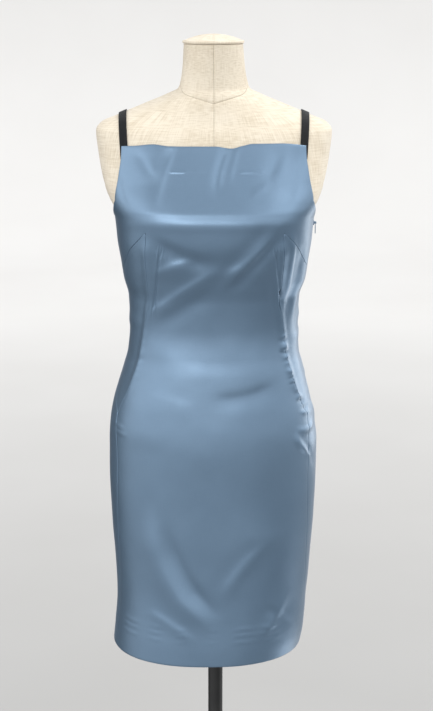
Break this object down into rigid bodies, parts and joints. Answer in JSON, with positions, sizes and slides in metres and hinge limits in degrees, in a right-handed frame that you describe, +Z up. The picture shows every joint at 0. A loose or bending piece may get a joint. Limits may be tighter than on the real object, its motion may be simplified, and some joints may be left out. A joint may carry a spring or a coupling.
{
  "type": "sheath dress on dress form",
  "caption": "Fitted knee-length satin sheath dress with thin shoulder straps, standing on a limbless linen dress form with a pole and round base.",
  "frame": {"origin": "centre of the round base's underside, on the floor", "axes": "+Z up; the dress faces -Y; the wearer's left is at +X"},
  "size_m": [0.39, 0.39, 1.4963],
  "materials": {
    "blue_satin": "blue-grey satin weave with a soft sheen",
    "black_elastic": "black woven elastic",
    "linen": "natural linen with an uneven weave",
    "black_paint": "black powder coat",
    "zip_enamel": "enamel dyed to match the satin",
    "zip_tape": "woven zip tape"
  },
  "bodies": {
    "root": {"front": "blue_satin", "back": "blue_satin", "side_panel_left": "blue_satin", "side_panel_right": "blue_satin", "strap_left": "black_elastic", "strap_right": "black_elastic", "zip_tape": "zip_tape", "zip_slider": "zip_enamel", "form_torso": "linen", "form_neck_cap": "linen", "form_pole": "black_paint", "form_base": "black_paint"},
    "pull_tab": {"zip_tab": "zip_enamel"}
  },
  "joints": [
    {"name": "tab_hinge", "type": "hinge", "parent": "root", "child": "pull_tab", "pos_m": [0.16243, 0, 1.196], "axis": [0, -1, 0], "range_deg": [0, 120]}
  ]
}
